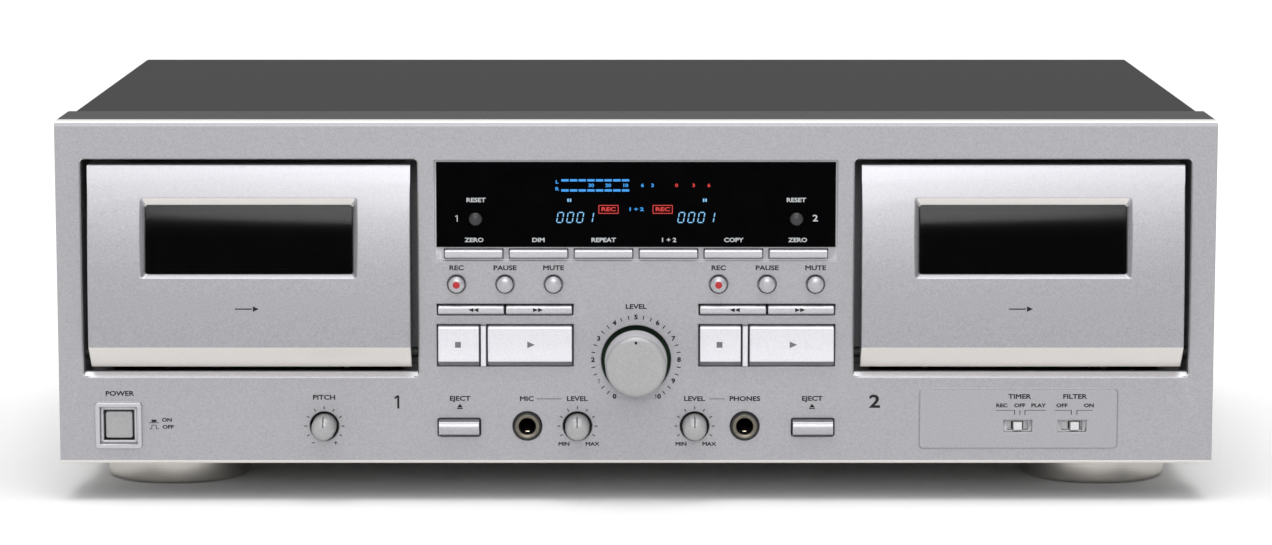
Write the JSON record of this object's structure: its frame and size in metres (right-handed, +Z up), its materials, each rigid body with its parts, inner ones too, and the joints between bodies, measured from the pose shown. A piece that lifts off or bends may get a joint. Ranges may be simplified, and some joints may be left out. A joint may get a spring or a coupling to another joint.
{
  "type": "double cassette deck",
  "caption": "Full-width hi-fi double cassette deck with silver front, tilting cassette doors, central display, key groups, level knobs and front jacks in a dark steel case.",
  "frame": {"origin": "bottom centre of the bounding box, on the floor under the feet", "axes": "+X to the right seen from the front, +Y to the back, +Z up"},
  "size_m": [0.435, 0.286, 0.145],
  "materials": {
    "silver_panel": "silver metallic paint, fine grain",
    "silver_door": "silver metallic paint, satin",
    "silver_keys": "silver metallic paint, satin",
    "dark_plastic": "moulded, satin",
    "black_plastic": "moulded, satin",
    "white_plastic": "moulded acetal",
    "smoked_acrylic": "polished smoked acrylic",
    "foot_plastic": "warm grey metallic",
    "dark_steel": "fine textured paint",
    "plated_steel": "zinc plated",
    "dark_screws": "black zinc",
    "circuit_board": "solder mask",
    "iron_core": "varnished laminations"
  },
  "bodies": {
    "case": {"front_panel": "silver_panel", "front_frame": "dark_plastic", "top_cover": "dark_steel", "chassis_tray": "plated_steel", "rear_panel": "dark_steel", "display_lens": "smoked_acrylic", "feet": "foot_plastic", "screws": "dark_screws", "phone_jacks": "black_plastic", "key_board": "circuit_board", "main_board": "circuit_board", "transformer": "iron_core", "rear_sockets": "black_plastic", "transport_frames": "black_plastic", "drive_motors": "plated_steel"},
    "door_1": {"door_1": "silver_door", "door_window_1": "smoked_acrylic", "cassette_holder_1": "black_plastic"},
    "door_2": {"door_2": "silver_door", "door_window_2": "smoked_acrylic", "cassette_holder_2": "black_plastic"},
    "power_button": {"power_button": "silver_keys"},
    "rec_level_knob": {"rec_level_knob": "silver_keys"},
    "pitch_knob": {"pitch_knob": "silver_keys"},
    "mic_level_knob": {"mic_level_knob": "silver_keys"},
    "phones_level_knob": {"phones_level_knob": "silver_keys"},
    "timer_switch_knob": {"timer_switch_knob": "black_plastic"},
    "noise_switch_knob": {"noise_switch_knob": "black_plastic"},
    "function_button_1": {"function_button_1": "silver_keys"},
    "function_button_2": {"function_button_2": "silver_keys"},
    "function_button_3": {"function_button_3": "silver_keys"},
    "function_button_4": {"function_button_4": "silver_keys"},
    "function_button_5": {"function_button_5": "silver_keys"},
    "function_button_6": {"function_button_6": "silver_keys"},
    "eject_button_1": {"eject_button_1": "silver_keys"},
    "counter_reset_button_1": {"counter_reset_button_1": "black_plastic"},
    "record_button_1": {"record_button_1": "silver_keys"},
    "pause_button_1": {"pause_button_1": "silver_keys"},
    "mute_button_1": {"mute_button_1": "silver_keys"},
    "rewind_key_1": {"rewind_key_1": "silver_keys"},
    "forward_key_1": {"forward_key_1": "silver_keys"},
    "stop_key_1": {"stop_key_1": "silver_keys"},
    "play_key_1": {"play_key_1": "silver_keys"},
    "supply_hub_1": {"supply_hub_1": "white_plastic"},
    "takeup_hub_1": {"takeup_hub_1": "white_plastic"},
    "flywheel_1": {"flywheel_1": "plated_steel"},
    "head_bridge_1": {"head_bridge_1": "plated_steel"},
    "eject_button_2": {"eject_button_2": "silver_keys"},
    "counter_reset_button_2": {"counter_reset_button_2": "black_plastic"},
    "record_button_2": {"record_button_2": "silver_keys"},
    "pause_button_2": {"pause_button_2": "silver_keys"},
    "mute_button_2": {"mute_button_2": "silver_keys"},
    "rewind_key_2": {"rewind_key_2": "silver_keys"},
    "forward_key_2": {"forward_key_2": "silver_keys"},
    "stop_key_2": {"stop_key_2": "silver_keys"},
    "play_key_2": {"play_key_2": "silver_keys"},
    "supply_hub_2": {"supply_hub_2": "white_plastic"},
    "takeup_hub_2": {"takeup_hub_2": "white_plastic"},
    "flywheel_2": {"flywheel_2": "plated_steel"},
    "head_bridge_2": {"head_bridge_2": "plated_steel"}
  },
  "joints": [
    {"name": "door_1_hinge", "type": "hinge", "parent": "case", "child": "door_1", "pos_m": [-0.145, -0.1177, 0.056], "axis": [1, 0, 0], "range_deg": [0, 25]},
    {"name": "door_2_hinge", "type": "hinge", "parent": "case", "child": "door_2", "pos_m": [0.145, -0.1177, 0.056], "axis": [1, 0, 0], "range_deg": [0, 25]},
    {"name": "power_button_slide", "type": "slide", "parent": "case", "child": "power_button", "axis": [0, 1, 0], "range_m": [-0.0025, 0.001]},
    {"name": "rec_level_knob_turn", "type": "hinge", "parent": "case", "child": "rec_level_knob", "pos_m": [0, -0.1262, 0.0543], "axis": [0, 1, 0], "range_deg": [-150, 150]},
    {"name": "pitch_knob_turn", "type": "hinge", "parent": "case", "child": "pitch_knob", "pos_m": [-0.1176, -0.1262, 0.029], "axis": [0, 1, 0], "range_deg": [-140, 140]},
    {"name": "mic_level_knob_turn", "type": "hinge", "parent": "case", "child": "mic_level_knob", "pos_m": [-0.0221, -0.1262, 0.029], "axis": [0, 1, 0], "range_deg": [-140, 140]},
    {"name": "phones_level_knob_turn", "type": "hinge", "parent": "case", "child": "phones_level_knob", "pos_m": [0.0221, -0.1262, 0.029], "axis": [0, 1, 0], "range_deg": [-140, 140]},
    {"name": "timer_switch_knob_slide", "type": "slide", "parent": "case", "child": "timer_switch_knob", "axis": [1, 0, 0], "range_m": [-0.002, 0.002]},
    {"name": "noise_switch_knob_slide", "type": "slide", "parent": "case", "child": "noise_switch_knob", "axis": [1, 0, 0], "range_m": [-0.002, 0]},
    {"name": "function_button_1_slide", "type": "slide", "parent": "case", "child": "function_button_1", "axis": [0, 1, 0], "range_m": [0, 0.0008], "stiffness_N_per_m": 600},
    {"name": "function_button_2_slide", "type": "slide", "parent": "case", "child": "function_button_2", "axis": [0, 1, 0], "range_m": [0, 0.0008], "stiffness_N_per_m": 600},
    {"name": "function_button_3_slide", "type": "slide", "parent": "case", "child": "function_button_3", "axis": [0, 1, 0], "range_m": [0, 0.0008], "stiffness_N_per_m": 600},
    {"name": "function_button_4_slide", "type": "slide", "parent": "case", "child": "function_button_4", "axis": [0, 1, 0], "range_m": [0, 0.0008], "stiffness_N_per_m": 600},
    {"name": "function_button_5_slide", "type": "slide", "parent": "case", "child": "function_button_5", "axis": [0, 1, 0], "range_m": [0, 0.0008], "stiffness_N_per_m": 600},
    {"name": "function_button_6_slide", "type": "slide", "parent": "case", "child": "function_button_6", "axis": [0, 1, 0], "range_m": [0, 0.0008], "stiffness_N_per_m": 600},
    {"name": "eject_button_1_slide", "type": "slide", "parent": "case", "child": "eject_button_1", "axis": [0, 1, 0], "range_m": [0, 0.003], "stiffness_N_per_m": 300},
    {"name": "counter_reset_button_1_slide", "type": "slide", "parent": "case", "child": "counter_reset_button_1", "axis": [0, 1, 0], "range_m": [0, 0.0008], "stiffness_N_per_m": 600},
    {"name": "record_button_1_slide", "type": "slide", "parent": "case", "child": "record_button_1", "axis": [0, 1, 0], "range_m": [0, 0.0008], "stiffness_N_per_m": 600},
    {"name": "pause_button_1_slide", "type": "slide", "parent": "case", "child": "pause_button_1", "axis": [0, 1, 0], "range_m": [0, 0.0008], "stiffness_N_per_m": 600},
    {"name": "mute_button_1_slide", "type": "slide", "parent": "case", "child": "mute_button_1", "axis": [0, 1, 0], "range_m": [0, 0.0008], "stiffness_N_per_m": 600},
    {"name": "rewind_key_1_slide", "type": "slide", "parent": "case", "child": "rewind_key_1", "axis": [0, 1, 0], "range_m": [0, 0.0008], "stiffness_N_per_m": 600},
    {"name": "forward_key_1_slide", "type": "slide", "parent": "case", "child": "forward_key_1", "axis": [0, 1, 0], "range_m": [0, 0.0008], "stiffness_N_per_m": 600},
    {"name": "stop_key_1_slide", "type": "slide", "parent": "case", "child": "stop_key_1", "axis": [0, 1, 0], "range_m": [0, 0.0008], "stiffness_N_per_m": 600},
    {"name": "play_key_1_slide", "type": "slide", "parent": "case", "child": "play_key_1", "axis": [0, 1, 0], "range_m": [0, 0.0008], "stiffness_N_per_m": 600},
    {"name": "supply_hub_1_turn", "type": "hinge", "parent": "case", "child": "supply_hub_1", "pos_m": [-0.16625, -0.0962, 0.091], "axis": [0, 1, 0], "continuous": true},
    {"name": "takeup_hub_1_turn", "type": "hinge", "parent": "case", "child": "takeup_hub_1", "pos_m": [-0.12375, -0.0962, 0.091], "axis": [0, 1, 0], "continuous": true},
    {"name": "flywheel_1_turn", "type": "hinge", "parent": "case", "child": "flywheel_1", "pos_m": [-0.118, -0.0962, 0.07], "axis": [0, 1, 0], "continuous": true},
    {"name": "head_bridge_1_slide", "type": "slide", "parent": "case", "child": "head_bridge_1", "axis": [0, 0, 1], "range_m": [0, 0.006], "stiffness_N_per_m": 60},
    {"name": "eject_button_2_slide", "type": "slide", "parent": "case", "child": "eject_button_2", "axis": [0, 1, 0], "range_m": [0, 0.003], "stiffness_N_per_m": 300},
    {"name": "counter_reset_button_2_slide", "type": "slide", "parent": "case", "child": "counter_reset_button_2", "axis": [0, 1, 0], "range_m": [0, 0.0008], "stiffness_N_per_m": 600},
    {"name": "record_button_2_slide", "type": "slide", "parent": "case", "child": "record_button_2", "axis": [0, 1, 0], "range_m": [0, 0.0008], "stiffness_N_per_m": 600},
    {"name": "pause_button_2_slide", "type": "slide", "parent": "case", "child": "pause_button_2", "axis": [0, 1, 0], "range_m": [0, 0.0008], "stiffness_N_per_m": 600},
    {"name": "mute_button_2_slide", "type": "slide", "parent": "case", "child": "mute_button_2", "axis": [0, 1, 0], "range_m": [0, 0.0008], "stiffness_N_per_m": 600},
    {"name": "rewind_key_2_slide", "type": "slide", "parent": "case", "child": "rewind_key_2", "axis": [0, 1, 0], "range_m": [0, 0.0008], "stiffness_N_per_m": 600},
    {"name": "forward_key_2_slide", "type": "slide", "parent": "case", "child": "forward_key_2", "axis": [0, 1, 0], "range_m": [0, 0.0008], "stiffness_N_per_m": 600},
    {"name": "stop_key_2_slide", "type": "slide", "parent": "case", "child": "stop_key_2", "axis": [0, 1, 0], "range_m": [0, 0.0008], "stiffness_N_per_m": 600},
    {"name": "play_key_2_slide", "type": "slide", "parent": "case", "child": "play_key_2", "axis": [0, 1, 0], "range_m": [0, 0.0008], "stiffness_N_per_m": 600},
    {"name": "supply_hub_2_turn", "type": "hinge", "parent": "case", "child": "supply_hub_2", "pos_m": [0.12375, -0.0962, 0.091], "axis": [0, 1, 0], "continuous": true},
    {"name": "takeup_hub_2_turn", "type": "hinge", "parent": "case", "child": "takeup_hub_2", "pos_m": [0.16625, -0.0962, 0.091], "axis": [0, 1, 0], "continuous": true},
    {"name": "flywheel_2_turn", "type": "hinge", "parent": "case", "child": "flywheel_2", "pos_m": [0.172, -0.0962, 0.07], "axis": [0, 1, 0], "continuous": true},
    {"name": "head_bridge_2_slide", "type": "slide", "parent": "case", "child": "head_bridge_2", "axis": [0, 0, 1], "range_m": [0, 0.006], "stiffness_N_per_m": 60}
  ]
}
